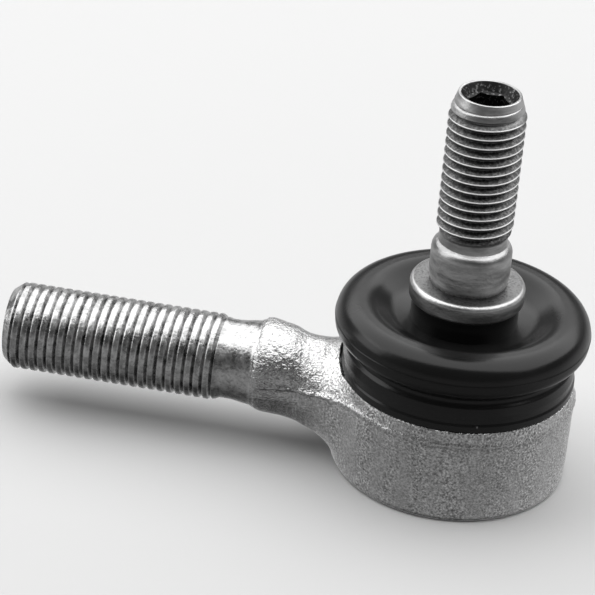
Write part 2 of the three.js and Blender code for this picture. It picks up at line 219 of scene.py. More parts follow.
def grid_faces(rows, columns, wrap_rows):
    """Quads between neighbouring rows. The columns run round and aren't wrapped."""
    count = rows if wrap_rows else rows - 1
    faces = []
    for row in range(count):
        above = (row + 1) % rows
        for column in range(columns - 1):
            faces.append((
                row * columns + column,
                row * columns + column + 1,
                above * columns + column + 1,
                above * columns + column,
            ))
    return faces


def arc(centre_radius, centre_z, radius, start_degrees, end_degrees, step_degrees=7.5):
    """Points of a circular arc in the (radius, z) plane."""
    steps = max(2, math.ceil(abs(end_degrees - start_degrees) / step_degrees))
    angles = np.radians(np.linspace(start_degrees, end_degrees, steps + 1))
    return [
        (centre_radius + radius * math.cos(angle), centre_z + radius * math.sin(angle))
        for angle in angles
    ]


def rounded(corners):
    """A path of (radius, z, fillet) corners with each corner's fillet drawn as an arc."""
    path = []
    for index, (radius, z, fillet) in enumerate(corners):
        corner = np.array((radius, z), float)
        if fillet == 0 or index in (0, len(corners) - 1):
            path.append(tuple(corner))
            continue
        before = np.array(corners[index - 1][:2], float) - corner
        after = np.array(corners[index + 1][:2], float) - corner
        before /= np.linalg.norm(before)
        after /= np.linalg.norm(after)
        half = math.acos(np.clip(before @ after, -1, 1)) / 2
        centre = corner + (before + after) / np.linalg.norm(before + after) * fillet / math.sin(half)
        start = corner + before * fillet / math.tan(half) - centre
        end = corner + after * fillet / math.tan(half) - centre
        start_angle = math.atan2(start[1], start[0])
        sweep = math.atan2(start[0] * end[1] - start[1] * end[0], start @ end)
        steps = max(2, math.ceil(abs(sweep) / math.radians(9)))
        for step in range(steps + 1):
            angle = start_angle + sweep * step / steps
            path.append(tuple(centre + fillet * np.array((math.cos(angle), math.sin(angle)))))
    return path


def spaced(path, most):
    """The path with points added so that no stretch is longer than most, and an extra point close
    to each end of a long stretch, which keeps the smooth shading of fillets off flat faces."""
    result = [path[0]]
    for start, end in zip(path, path[1:]):
        start, end = np.array(start), np.array(end)
        length = np.linalg.norm(end - start)
        if length > 0.6:
            inner = np.linspace(0.08 / length, 1 - 0.08 / length, max(2, math.ceil(length / most) + 1))
            result += [tuple(start + (end - start) * share) for share in inner]
        result.append(tuple(end))
    return result


def turned(name, profile, columns=128, closed=True, most=1.0):
    """A profile of (radius, z) turned about Z: a closed loop, or open with both ends on the axis."""
    path = spaced(list(profile) + [profile[0]] if closed else profile, most)
    if closed:
        path = path[:-1]
    angles = np.linspace(0, 2 * math.pi, columns + 1)
    points = [
        (radius * math.cos(angle), radius * math.sin(angle), z) for radius, z in path for angle in angles
    ]
    return finish_mesh(name, graph_from(points, grid_faces(len(path), columns + 1, closed)))


def smoothstep(low, high, value):
    """A smooth rise from 0 at low to 1 at high, which may be the smaller of the two."""
    share = np.clip((value - low) / (high - low), 0, 1)
    return share * share * (3 - 2 * share)


# ---- Threads --------------------------------------------------------------------------------

THREAD_ROWS = 14  # rows of vertices in one pitch
THREAD_COLUMNS = 96
FLANK_SHARE = 0.94  # the rest of a pitch is the flat root


def thread_height(phase, roundness):
    """Height of a rolled thread from its root, 0, to its crest, 1, which is at phase 0. A higher
    roundness gives a broader crest and a narrower root."""
    from_crest = np.abs((phase + 0.5) % 1 - 0.5) * 2
    return 1 - np.clip(from_crest / FLANK_SHARE, 0, 1) ** roundness


def thread_rows(start, stop, hand, crest_at, crest_angle, radius_of):
    """Rows of a helical grid about Z from start to stop, as an array of points. The rows follow the
    helix, and those past an end are laid on that end's ring, where they are merged later. A crest
    passes crest_at along the axis at crest_angle. radius_of gives the radius from z and phase."""
    angles = np.linspace(0, 2 * math.pi, THREAD_COLUMNS + 1)
    step = THREAD_PITCH / THREAD_ROWS
    lead = hand * THREAD_PITCH * angles / (2 * math.pi)
    first = start - THREAD_PITCH * (1 if hand > 0 else 0)
    last = stop + THREAD_PITCH * (0 if hand > 0 else 1)
    shift = (crest_at - first) % step
    count = math.ceil((last - first) / step) + 1
    along = first + shift - step + step * np.arange(count + 1)
    z = along[:, None] + lead[None, :]
    crest_lead = hand * THREAD_PITCH * crest_angle / (2 * math.pi)
    phase = (z - crest_at - lead[None, :] + crest_lead) / THREAD_PITCH
    z = np.clip(z, start, stop)
    radius = radius_of(z, phase)
    return np.stack([radius * np.cos(angles), radius * np.sin(angles), z], axis=-1)


def ring_rows(path):
    """Rows of plain rings for a path of (radius, z), with the threads' columns."""
    angles = np.linspace(0, 2 * math.pi, THREAD_COLUMNS + 1)
    return np.array([
        [(radius * math.cos(angle), radius * math.sin(angle), z) for angle in angles] for radius, z in path
    ])


def skin(rows):
    """One surface over several blocks of rows that follow one another."""
    rows = np.concatenate(rows)
    return graph_from(rows.reshape(-1, 3), grid_faces(rows.shape[0], rows.shape[1], False))


# ---- Housing --------------------------------------------------------------------------------

# The forged neck's sections across X: x, half width, heights above and below the shank's axis, the
# squareness of the upper and the lower half, where 2 is an ellipse, and how far from the axis the
# facet along its lower edge lies.
NECK_STATIONS = np.array([
    (NECK_START_X, 6.9, 6.9, 6.9, 2.0, 2.0, 7.2),
    (-31.1, 7.3, 7.5, 7.4, 2.0, 2.0, 7.4),
    (-30.2, 7.4, 7.65, 7.6, 2.0, 2.05, 7.5),
    (-28.6, 7.1, 7.4, 7.7, 2.0, 2.1, 7.25),
    (-27.2, 6.8, 7.15, 7.75, 2.0, 2.2, 7.05),
    (-26.1, 6.6, 6.85, 7.8, 2.0, 2.4, 7.1),
    (-25.2, 6.55, 6.5, 7.95, 1.9, 2.5, 7.2),
    (-24.2, 6.7, 6.15, 8.2, 1.8, 2.6, 7.4),
    (-22.8, 7.1, 6.0, 8.6, 1.7, 2.8, 7.75),
    (-21.0, 7.8, 5.85, 9.0, 1.7, 3.0, 8.6),
    (-19.0, 8.8, 5.4, 9.5, 1.75, 3.1, 10.0),
    (-17.0, 9.9, 4.9, 10.0, 1.8, 3.2, 11.8),
    (-13.0, 12.4, 4.3, 10.6, 1.8, 3.4, 14.5),
    (-8.0, 14.0, 4.3, 10.8, 1.8, 3.4, 17.0),
])
FACET_SLOPE = math.radians(32)  # how far below level the facet faces
FIELD_STEP = 0.24
NECK_FILLET = 3.2
WALL_TOP_Z = 13.9
FLASH_Z_AT_NECK = SHANK_AXIS_Z + 0.1
RIPPLE_HEIGHT = 0.07
FLASH_HEIGHT = 0.24
FLASH_WIDTH = 0.34


def path_distance(radius, z, path):
    """Signed distance from points to a closed loop of (radius, z), negative inside."""
    nearest = np.full(radius.shape, 1e9, np.float32)
    inside = np.zeros(radius.shape, bool)
    for (r0, z0), (r1, z1) in zip(path, path[1:] + path[:1]):
        dr, dz = r1 - r0, z1 - z0
        share = np.clip(((radius - r0) * dr + (z - z0) * dz) / (dr * dr + dz * dz), 0, 1)
        nearest = np.minimum(nearest, (radius - r0 - share * dr) ** 2 + (z - z0 - share * dz) ** 2)
        if z0 != z1:
            crosses = (z0 > z) != (z1 > z)
            inside ^= crosses & (radius < r0 + (z - z0) / (z1 - z0) * dr)
    distance = np.sqrt(nearest)
    return np.where(inside, -distance, distance)


def smooth_union(first, second, width):
    """The nearer of two distances, with a soft fillet where they are about equal."""
    blend = np.clip(width - np.abs(first - second), 0, None) / width
    return np.minimum(first, second) - blend * blend * width / 4


# The cup's outside and its hollow, as closed loops of (radius, z, fillet).
CUP_OUTSIDE = rounded([
    (-5, 0, 0),
    (WALL_RADIUS - 0.2, 0, 1.0),
    (WALL_RADIUS, WALL_TOP_Z, 0.3),
    (BOOT_LIP_RADIUS, BOOT_SEAT_Z, 0.15),
    (COLLAR_RADIUS, BOOT_SEAT_Z, 0),
    (COLLAR_RADIUS, COLLAR_TOP_Z, 0.6),
    (-5, COLLAR_TOP_Z, 0),
])
CUP_HOLLOW = rounded([
    (-5, -3, 0),
    (ROLLED_LIP_RADIUS, -3, 0),
    (ROLLED_LIP_RADIUS, ROLLED_LIP_TOP_Z, 0.25),
    (BORE_RADIUS, ROLLED_LIP_TOP_Z, 0),
    (BORE_RADIUS, BORE_TOP_Z, 0.5),
    (THROAT_RADIUS, THROAT_BOTTOM_Z, 0.5),
    (THROAT_RADIUS, COLLAR_TOP_Z + 3, 0),
    (-5, COLLAR_TOP_Z + 3, 0),
])


def neck_distance(x, y, z):
    """Distance from the forged neck, nearly exact close to its surface."""
    row = NECK_STATIONS[:, 0]
    width, above, below, upper_power, lower_power, facet_reach = (
        np.interp(x, row, NECK_STATIONS[:, column]) for column in range(1, 7)
    )
    up = z - SHANK_AXIS_Z
    height = np.where(up > 0, above, below)
    power = np.where(up > 0, upper_power, lower_power)
    size = (np.abs(y / width) ** power + np.abs(up / height) ** power) ** (1 / power) + 1e-6
    sideways = np.hypot(y, up) * (1 - 1 / size)
    facet = np.abs(y) * math.cos(FACET_SLOPE) - up * math.sin(FACET_SLOPE) - facet_reach
    sideways = -smooth_union(-sideways, -facet, 0.5)
    return np.maximum(sideways, np.maximum(row[0] - x, x - row[-1]))


def ripple(x, y, z):
    """A gentle unevenness of the forged skin, from -1 to 1."""
    waves = np.sin(1.9 * x + 1.3 * np.sin(0.9 * z + 0.5 * y)) * np.sin(1.1 * z + 0.8 * y + 0.7)
    swell = np.sin(0.47 * y + 1.2 * np.sin(0.6 * x)) * np.cos(0.55 * z - 0.31 * x)
    return 0.45 * waves + 0.55 * swell


def flash_ridge(x, y, z):
    """The trimmed flash where the two dies met: along both sides of the neck and round the cup."""
    height = FLASH_Z_AT_NECK + (WALL_TOP_Z - FLASH_Z_AT_NECK) * smoothstep(-25, -12, x)
    ragged = 1 + 0.35 * np.sin(2.3 * x + 1.7 * y) * np.sin(3.1 * y - 1.3 * x)
    trimmed = 1 - 0.45 * smoothstep(-20, -10, x)
    return np.exp(-((z - height) / FLASH_WIDTH) ** 2) * ragged * trimmed * smoothstep(-31.5, -30.5, x)


def housing_distance(x, y, z):
    """Distance from the forging: the cup and the neck in one, cut down to the boot's seat and to the
    bench, uneven on the outside, joined to the turned relief, and hollowed."""
    radius = np.hypot(x, y)
    cup = path_distance(radius, z, CUP_OUTSIDE)
    forging = smooth_union(cup, neck_distance(x, y, z), NECK_FILLET)
    past_lip = np.clip(radius - BOOT_LIP_RADIUS - SEAT_GROOVE, 0, None)
    seat_tone_and_foot_shade = z - BOOT_SEAT_Z - SEAT_WALL_SLOPE * past_lip
    in_collar = radius < COLLAR_RADIUS + 0.4
    forging = np.maximum(forging, np.where(in_collar, -1e3, seat_tone_and_foot_shade))
    forging = np.maximum(forging, -z)
    outer_skin = smoothstep(18.1, 18.6, radius) * smoothstep(0.3, 1.2, z)
    forging -= outer_skin * (RIPPLE_HEIGHT * ripple(x, y, z) + FLASH_HEIGHT * flash_ridge(x, y, z))
    relief_radius = SHANK_RELIEF_RADIUS + RELIEF_FLARE * smoothstep(-36, NECK_START_X, x)
    relief = np.hypot(y, z - SHANK_AXIS_Z) - relief_radius
    relief = np.maximum(relief, SHANK_THREAD_STOP_X - 0.3 - x)
    relief = np.maximum(relief, x - NECK_START_X - 2.5)
    body = smooth_union(forging, relief, 0.9)
    return np.maximum(body, -path_distance(radius, z, CUP_HOLLOW))


def field_mesh(distance, low, high, step):
    """The zero surface of a distance function in a box, as points and faces. Two steps along the
    field's slope put each point on the surface and bring edges back."""
    axes = [np.arange(a - 2 * step, b + 3 * step, step, dtype=np.float32) for a, b in zip(low, high)]
    x, y, z = np.meshgrid(*axes, indexing="ij")
    grid = openvdb.FloatGrid(background=10.0)
    grid.copyFromArray(distance(x, y, z).astype(np.float32))
    points, triangles, quads = grid.convertToPolygons(isovalue=0.0, adaptivity=0.0)
    points = points.astype(np.float64) * step + np.array([axis[0] for axis in axes])
    probe = 0.02
    for _ in range(2):
        value = distance(*points.T)
        slope = np.empty_like(points)
        for axis in range(3):
            ahead = points.copy()
            ahead[:, axis] += probe
            slope[:, axis] = (distance(*ahead.T) - value) / probe
        steepness = np.maximum((slope ** 2).sum(axis=1), 0.25)
        move = np.clip(value / steepness, -step / 2, step / 2)
        points -= slope * move[:, None]
    faces = [tuple(int(i) for i in face[::-1]) for group in (triangles, quads) for face in group]
    return points, faces


def shank_graph():
    """The shank from its free end to the run-out, as a closed bar in millimetres."""
    length = SHANK_THREAD_STOP_X - SHANK_END_X
    root_radius = SHANK_RADIUS - SHANK_THREAD_DEPTH

    def radius_of(z, phase):
        fade = smoothstep(length, length - SHANK_RUN_OUT, z)
        root = root_radius + (SHANK_RELIEF_RADIUS - root_radius) * (1 - fade)
        crest = SHANK_RELIEF_RADIUS + (SHANK_RADIUS - SHANK_RELIEF_RADIUS) * fade
        radius = root + (crest - root) * thread_height(phase, SHANK_THREAD_ROUNDNESS)
        chamfer = SHANK_END_RADIUS + z * SHANK_END_SLOPE
        return np.minimum(radius, chamfer)

    rows = thread_rows(0, length, -1, 1.7, 0, radius_of)
    end_face = [(0, 0), (SHANK_END_RADIUS - 0.25, 0), (SHANK_END_RADIUS - 0.05, 0.08)]
    start = ring_rows(spaced(end_face, 1.0))
    stop = ring_rows([
        (SHANK_RELIEF_RADIUS, length),
        (SHANK_RELIEF_RADIUS - 0.02, length + SHANK_PLUG),
        (0, length + SHANK_PLUG),
    ])
    graph = skin([start, rows, stop])
    turn = Matrix.Rotation(math.pi / 2, 4, "Y")
    move = Matrix.Translation((SHANK_END_X, 0, SHANK_AXIS_Z))
    bmesh.ops.transform(graph, matrix=move @ turn, verts=graph.verts)
    return graph


def make_housing():
    """The forging and its threaded shank in one mesh."""
    low = (SHANK_THREAD_STOP_X - 0.5, -WALL_RADIUS - 0.5, -0.5)
    high = (WALL_RADIUS + 0.5, WALL_RADIUS + 0.5, COLLAR_TOP_Z + 0.5)
    points, faces = field_mesh(housing_distance, low, high, FIELD_STEP)
    graph = graph_from(points, faces)
    shank = shank_graph()
    draft = bpy.data.meshes.new("draft")
    shank.to_mesh(draft)
    shank.free()
    graph.from_mesh(draft)
    bpy.data.meshes.remove(draft)
    return finish_mesh("forged_housing", graph)


# ---- Ball stud ------------------------------------------------------------------------------


def hex_radius(angles):
    """Radius of the socket's hexagon at each angle."""
    sector = math.pi / 3
    return HEX_ACROSS_FLATS / 2 / np.cos((angles % sector) - sector / 2)


def socket_rows():
    """Rings from the stud's rim down the round entry and the hexagon's walls to its floor."""
    angles = np.linspace(0, 2 * math.pi, THREAD_COLUMNS + 1)
    hexagon = hex_radius(angles)
    rows = [
        (SOCKET_RIM_RADIUS + (SOCKET_ENTRY_RADIUS - SOCKET_RIM_RADIUS) * share,
         SOCKET_RIM_Z + (SOCKET_ENTRY_Z - SOCKET_RIM_Z) * share)
        for share in (0.1, 0.5, 0.9, 1.0)
    ]
    hexagon_z = SOCKET_ENTRY_Z - 0.45 * (SOCKET_ENTRY_RADIUS - hexagon)
    wall = SOCKET_FLOOR_Z - hexagon_z
    rows += [(hexagon, hexagon_z + wall * share) for share in (0, 0.02, 0.5, 0.98, 1)]
    rows += [(hexagon * 0.9, SOCKET_FLOOR_Z), (1.0, SOCKET_FLOOR_Z - 0.8), (0, SOCKET_FLOOR_Z - 0.9)]
    full = np.ones_like(angles)
    return np.array([
        np.stack([r * np.cos(angles), r * np.sin(angles), z * full], axis=-1) for r, z in rows
    ])


def make_stud():
    """The stud from the flat under its ball up to its tip, and back down into the socket."""
    flat_z = STUD_LOW[2]
    flat_degrees = math.degrees(math.asin((flat_z - BALL_CENTRE_Z) / BALL_RADIUS))
    neck_degrees = math.degrees(math.acos(NECK_RADIUS / BALL_RADIUS))
    body = [(0, flat_z)] + arc(0, BALL_CENTRE_Z, BALL_RADIUS, flat_degrees, neck_degrees, 4)
    body += rounded([
        (NECK_RADIUS, BALL_CENTRE_Z + 8, 0),
        (NECK_RADIUS, FLANGE_BOTTOM_Z, 0.6),
        (FLANGE_RADIUS, FLANGE_BOTTOM_Z, 0.5),
        (FLANGE_RADIUS, FLANGE_TOP_Z, 0.75),
        (PILOT_RADIUS - 0.35, FLANGE_TOP_Z, 0),
        (PILOT_RADIUS, FLANGE_TOP_Z + 1.6, 2.5),
        (PILOT_RADIUS, PILOT_TOP_Z, 1.6),
        (UNDERCUT_RADIUS, PILOT_TOP_Z + 0.6, 0.15),
        (UNDERCUT_RADIUS, STUD_THREAD_START_Z, 0),
    ])

    def lead_in(z):
        return STUD_TIP_RADIUS + (SOCKET_RIM_Z - z) * STUD_LEAD_IN_SLOPE

    def radius_of(z, phase):
        fade = smoothstep(STUD_THREAD_START_Z, STUD_THREAD_START_Z + STUD_RUN_IN, z)
        root = UNDERCUT_RADIUS + (STUD_RADIUS - STUD_THREAD_DEPTH - UNDERCUT_RADIUS) * fade
        crest = UNDERCUT_RADIUS + (STUD_RADIUS - UNDERCUT_RADIUS) * fade
        radius = root + (crest - root) * thread_height(phase, STUD_THREAD_ROUNDNESS)
        return np.minimum(radius, lead_in(z))

    rows = thread_rows(
        STUD_THREAD_START_Z, STUD_THREAD_END_Z, 1, STUD_CREST_Z, -math.pi / 2, radius_of
    )
    above_thread = STUD_THREAD_END_Z + 0.05
    tip = rounded([
        (lead_in(above_thread), above_thread, 0),
        (STUD_TIP_RADIUS, STUD_TIP_Z, 0.2),
        (SOCKET_RIM_RADIUS, SOCKET_RIM_Z, 0),
    ])
    graph = skin([ring_rows(spaced(body, 1.0)), rows, ring_rows(spaced(tip, 1.0)), socket_rows()])
    return finish_mesh("ball_stud_fine", graph)


# ---- Dust boot and cover --------------------------------------------------------------------


def make_boot():
    """Outside from the lip up over the bulge and down into the dish to the cuff, then back down the
    inside. The mould's parting line is a fine ridge round the bulge."""
    lip_bottom = BOOT_SEAT_Z + 0.05
    cuff_top = FLANGE_BOTTOM_Z - 0.05
    below_seam = rounded([
        (COLLAR_RADIUS + 0.05, lip_bottom, 0),
        (BOOT_LIP_RADIUS, lip_bottom, 0.2),
        (BOOT_LIP_RADIUS, 17.3, 0.3),
        (BOOT_LIP_RADIUS - 0.25, 17.7, 0.3),
        (BOOT_LIP_RADIUS - 0.2, 18.9, 0.5),
        (BOOT_LIP_RADIUS - 0.45, 20.3, 0.5),
        (WAIST_RADIUS, 21.4, 0.9),
        (BULGE_RADIUS, 23.4, 2.3),
        (BULGE_RADIUS, BULGE_Z - 0.12, 0),
    ])
    seam = [(BULGE_RADIUS + 0.08, BULGE_Z - 0.06), (BULGE_RADIUS + 0.08, BULGE_Z + 0.02)]
    bulge = arc(BULGE_RADIUS - BULGE_TUBE, BULGE_Z, BULGE_TUBE, 2, 90, 5)
    dish_and_inside = rounded([
        (BULGE_RADIUS - BULGE_TUBE, BULGE_Z + BULGE_TUBE, 0),
        (14.7, BULGE_Z + BULGE_TUBE, 3.0),
        (11.4, 26.3, 2.6),
        (CUFF_RADIUS, 26.0, 0),
        (CUFF_RADIUS, cuff_top, 0.3),
        (CUFF_BORE_RADIUS, cuff_top, 0.2),
        (CUFF_BORE_RADIUS, BEND_TOP_Z + 0.1, 0.3),
        (7.4, 25.2, 0.6),
        (11.2, 24.9, 1.0),
        (14.4, 27.1, 1.4),
        (17.0, 27.1, 1.6),
        (18.5, 25.4, 1.0),
        (18.4, 24.4, 0.8),
        (15.5, 21.9, 0.4),
        (COLLAR_RADIUS + 0.05, 20.9, 0.3),
        (COLLAR_RADIUS + 0.05, 19, 0),
        (16.8, 19, 0),
        (16.8, 17.3, 0),
        (COLLAR_RADIUS + 0.05, 17.3, 0),
    ])
    profile = below_seam + seam + bulge + dish_and_inside[1:]
    return turned("dust_boot_moulded", profile, columns=144, most=0.5)


def make_cover():
    """The pressed cover under the joint, with its flat pad and its rim behind the rolled lip."""
    low, high = COVER_LOW[2], COVER_HIGH[2]
    radius = COVER_HIGH[0]
    pad_radius = 8.4
    rim_z = low + 0.9
    pad_top_z = low + 1.2
    profile = rounded([
        (0, low, 0),
        (pad_radius, low, 0.6),
        (pad_radius + 0.6, rim_z, 0.4),
        (radius, rim_z, 0.2),
        (radius, high, 0.2),
        (pad_radius, high, 0.4),
        (pad_radius - 0.6, pad_top_z, 0.6),
        (0, pad_top_z, 0),
    ])
    return turned("pressed_cover", profile, closed=False)


# ---- Materials ------------------------------------------------------------------------------


class Surface:
    """A Principled material under construction, with short calls for the nodes it needs."""

    def __init__(self, name, **settings):
        self.material = bpy.data.materials.new(name)
        self.material.use_nodes = True
        self.nodes = self.material.node_tree.nodes
        self.links = self.material.node_tree.links
        self.shader = self.nodes["Principled BSDF"]
        for socket, value in settings.items():
            self.shader.inputs[socket.replace("_", " ")].default_value = value
        self.place = self.nodes.new("ShaderNodeTexCoord").outputs["Object"]

    def put(self, value, socket):
        """Links an output to a socket, or sets a plain value on it."""
        if isinstance(value, bpy.types.NodeSocket):
            self.links.new(value, socket)
        else:
            socket.default_value = value

    def noise(self, scale, detail=3.0, roughness=0.55, stretch=None):
        """Soft noise, with scale in features per metre and a factor on it along each axis."""
        node = self.nodes.new("ShaderNodeTexNoise")
        node.inputs["Scale"].default_value = scale
        node.inputs["Detail"].default_value = detail
        node.inputs["Roughness"].default_value = roughness
        self.links.new(self.stretched(stretch), node.inputs["Vector"])
        return node.outputs["Fac"]

    def cells(self, scale):
        """Distance from the nearest of many scattered points."""
        node = self.nodes.new("ShaderNodeTexVoronoi")
        node.inputs["Scale"].default_value = scale
        self.links.new(self.place, node.inputs["Vector"])
        return node.outputs["Distance"]

    def stretched(self, stretch):
        """The object's own coordinates, scaled along each axis."""
        if stretch is None:
            return self.place
        node = self.nodes.new("ShaderNodeMapping")
        node.inputs["Scale"].default_value = stretch
        self.links.new(self.place, node.inputs["Vector"])
        return node.outputs["Vector"]

    def ramp(self, value, *stops):
        """A grey ramp through (position, grey) stops."""
        node = self.nodes.new("ShaderNodeValToRGB")
        elements = node.color_ramp.elements
        for index, (position, grey) in enumerate(stops):
            element = elements[index] if index < 2 else elements.new(position)
            element.position = position
            element.color = (grey, grey, grey, 1)
        self.links.new(value, node.inputs["Fac"])
        return node.outputs["Color"]

    def mix(self, share, low, high):
        """The colour low where share is 0, and high where it is 1."""
        node = self.nodes.new("ShaderNodeMix")
        node.data_type = "RGBA"
        self.put(share, node.inputs["Factor"])
        self.put(low, node.inputs[6])
        self.put(high, node.inputs[7])
        return node.outputs[2]

    def math(self, operation, first, second):
        """One arithmetic step on two values, each an output or a plain number."""
        node = self.nodes.new("ShaderNodeMath")
        node.operation = operation
        self.put(first, node.inputs[0])
        self.put(second, node.inputs[1])
        return node.outputs[0]

    def height(self):
        """Z in the object's own frame, in metres."""
        node = self.nodes.new("ShaderNodeSeparateXYZ")
        self.links.new(self.place, node.inputs["Vector"])
        return node.outputs["Z"]

    def from_axis(self):
        """Distance from the object's Z axis, in metres."""
        node = self.nodes.new("ShaderNodeVectorMath")
        node.operation = "LENGTH"
        self.links.new(self.stretched((1, 1, 0)), node.inputs[0])
        return node.outputs["Value"]

    def span(self, value, low, high):
        """A smooth rise from 0 at low to 1 at high, which may be the smaller of the two."""
        node = self.nodes.new("ShaderNodeMapRange")
        node.interpolation_type = "SMOOTHSTEP"
        node.inputs["From Min"].default_value = low
        node.inputs["From Max"].default_value = high
        self.links.new(value, node.inputs["Value"])
        return node.outputs["Result"]

    def colour(self, value):
        self.links.new(value, self.shader.inputs["Base Color"])

    def roughness(self, value):
        self.links.new(value, self.shader.inputs["Roughness"])

    def bump(self, height, distance, strength):
        """Adds a layer of bump over those added before."""
        node = self.nodes.new("ShaderNodeBump")
        node.inputs["Strength"].default_value = strength
        node.inputs["Distance"].default_value = distance
        self.links.new(height, node.inputs["Height"])
        before = self.shader.inputs["Normal"].links
        if before:
            self.links.new(before[0].from_socket, node.inputs["Normal"])
        self.links.new(node.outputs["Normal"], self.shader.inputs["Normal"])


def grey(value):
    """A grey as a colour with full alpha."""
    return (value, value, value, 1)


def zinc_material():
    """Bright zinc over a shot-blasted forging: a fine grain with a few dark pits, stronger round the
    cup than on the neck, which has a coarser mottle instead."""
    surface = Surface("zinc_forging", Metallic=1.0)
    grain = surface.noise(2900, detail=3, roughness=0.6)
    bands = surface.ramp(surface.noise(230, detail=2, stretch=(1.0, 1.0, 0.15)), (0.38, 0.35), (0.6, 1.0))
    on_cup = surface.span(surface.from_axis(), (WALL_RADIUS + 6) * MM, (WALL_RADIUS + 0.5) * MM)
    blasted = surface.mix(on_cup, grey(0.25), bands)
    patches = surface.noise(170, detail=3)
    pits = surface.ramp(surface.cells(620), (0.0, 1.0), (0.13, 0.0))
    tone = surface.mix(surface.ramp(patches, (0.35, 0.0), (0.65, 1.0)), grey(0.46), grey(0.53))
    dark_grain = surface.math("MULTIPLY", surface.ramp(grain, (0.36, 1.0), (0.48, 0.0)), blasted)
    light_grain = surface.math("MULTIPLY", surface.ramp(grain, (0.53, 0.0), (0.64, 1.0)), blasted)
    tone = surface.mix(dark_grain, tone, grey(0.14))
    tone = surface.mix(light_grain, tone, grey(0.85))
    tone = surface.mix(pits, tone, grey(0.12))
    surface.colour(tone)
    surface.roughness(surface.ramp(surface.noise(500, detail=4), (0.3, 0.17), (0.7, 0.26)))
    surface.bump(surface.noise(420, detail=2), 0.0003, 0.2)
    rough_grain = surface.math("MULTIPLY", grain, surface.ramp(patches, (0.3, 1.0), (0.7, 0.55)))
    surface.bump(rough_grain, 0.0004, 0.5)
    on_neck = surface.math("SUBTRACT", 1.0, on_cup)
    mottle = surface.math("MULTIPLY", surface.noise(1300, detail=2), on_neck)
    surface.bump(mottle, 0.0005, 0.5)
    surface.bump(surface.math("SUBTRACT", 0.0, pits), 0.0001, 0.4)
    return surface.material


def thread_zinc_material():
    """Zinc on the rolled shank: smoother, with stains and a light grain."""
    surface = Surface("zinc_thread", Metallic=1.0)
    stains = surface.noise(620, detail=5)
    grain = surface.noise(2400, detail=3)
    tone = surface.mix(surface.ramp(stains, (0.38, 0.0), (0.6, 1.0)), grey(0.3), grey(0.56))
    tone = surface.mix(surface.ramp(grain, (0.35, 0.5), (0.48, 0.0)), tone, grey(0.16))
    surface.colour(tone)
    surface.roughness(surface.ramp(stains, (0.3, 0.22), (0.7, 0.36)))
    surface.bump(surface.noise(900, detail=3, stretch=(3.0, 0.12, 0.12)), 0.00008, 0.35)
    surface.bump(grain, 0.00016, 0.45)
    return surface.material


def stud_material():
    """Turned and rolled steel: bright on the thread's crests, with painted shade darkening its grooves
    and the socket, and a darker seat face with painted shade at the pilot's foot."""
    surface = Surface("turned_steel", Metallic=1.0)
    height = surface.height()
    radius = surface.from_axis()
    smears = surface.noise(340, detail=5, stretch=(0.6, 0.6, 2.2))
    specks = surface.noise(2300, detail=3)
    crest = surface.span(radius, 0.98 * STUD_RADIUS * MM, 0.992 * STUD_RADIUS * MM)
    groove = surface.span(radius, 0.985 * STUD_RADIUS * MM, 0.965 * STUD_RADIUS * MM)
    above_pilot = surface.span(height, (STUD_THREAD_START_Z - 0.1) * MM, (STUD_THREAD_START_Z + 0.9) * MM)
    below_tip = surface.span(height, (STUD_TIP_Z - 2.3) * MM, (STUD_TIP_Z - 3.5) * MM)
    in_thread = surface.math("MULTIPLY", above_pilot, below_tip)
    socket = surface.span(radius, (SOCKET_RIM_RADIUS + 0.05) * MM, (SOCKET_RIM_RADIUS - 0.1) * MM)
    # Painted shade: the thread's grooves and the socket are darkened in colour.
    groove_and_socket_shade = surface.math("MAXIMUM", surface.math("MULTIPLY", groove, in_thread), socket)
    # The seat face gets a darker specked tone of its own; where this mask reaches up the pilot's foot it is
    # painted shade over the fillet's highlight.
    seat_top = surface.span(height, (FLANGE_TOP_Z - 0.08) * MM, (FLANGE_TOP_Z - 0.01) * MM)
    seat_foot = surface.span(height, (FLANGE_TOP_Z + 0.9) * MM, (FLANGE_TOP_Z + 0.1) * MM)
    seat_tone_and_foot_shade = surface.math("MULTIPLY", seat_top, seat_foot)
    tone = surface.mix(surface.ramp(smears, (0.36, 0.0), (0.62, 1.0)), grey(0.25), grey(0.5))
    tone = surface.mix(seat_tone_and_foot_shade, tone, surface.ramp(specks, (0.36, 0.11), (0.5, 0.19)))
    tone = surface.mix(surface.math("MULTIPLY", crest, in_thread), tone, grey(0.62))
    painted_shade_tone = surface.mix(surface.ramp(specks, (0.45, 0.0), (0.6, 1.0)), grey(0.07), grey(0.17))
    tone = surface.mix(groove_and_socket_shade, tone, painted_shade_tone)
    # Painted shade: most of the socket is painted nearly black.
    socket_shade_share = surface.ramp(specks, (0.56, 0.9), (0.64, 0.0))
    tone = surface.mix(surface.math("MULTIPLY", socket, socket_shade_share), tone, grey(0.02))
    surface.colour(tone)
    worn = surface.ramp(smears, (0.3, 0.3), (0.7, 0.45))
    surface.roughness(surface.mix(groove_and_socket_shade, worn, grey(0.5)))
    surface.bump(surface.noise(700, detail=4, stretch=(0.08, 0.08, 3.0)), 0.00008, 0.35)
    surface.bump(specks, 0.00012, 0.4)
    return surface.material


def rubber_material():
    """Satin black rubber with faint bloom and a few specks of dust."""
    surface = Surface("moulded_rubber", Metallic=0.0, Specular_IOR_Level=0.25)
    bloom = surface.noise(90, detail=3)
    dust_place = surface.ramp(surface.cells(210), (0.0, 1.0), (0.05, 0.0))
    dust_share = surface.ramp(surface.noise(60, detail=1), (0.55, 0.0), (0.62, 1.0))
    dust = surface.math("MULTIPLY", dust_place, dust_share)
    tone = surface.mix(bloom, grey(0.004), grey(0.008))
    tone = surface.mix(dust, tone, grey(0.5))
    surface.colour(tone)
    surface.roughness(surface.ramp(bloom, (0.3, 0.2), (0.7, 0.28)))
    surface.bump(surface.noise(1500, detail=3), 0.00003, 0.3)
    surface.bump(surface.noise(170, detail=2), 0.0001, 0.15)
    return surface.material


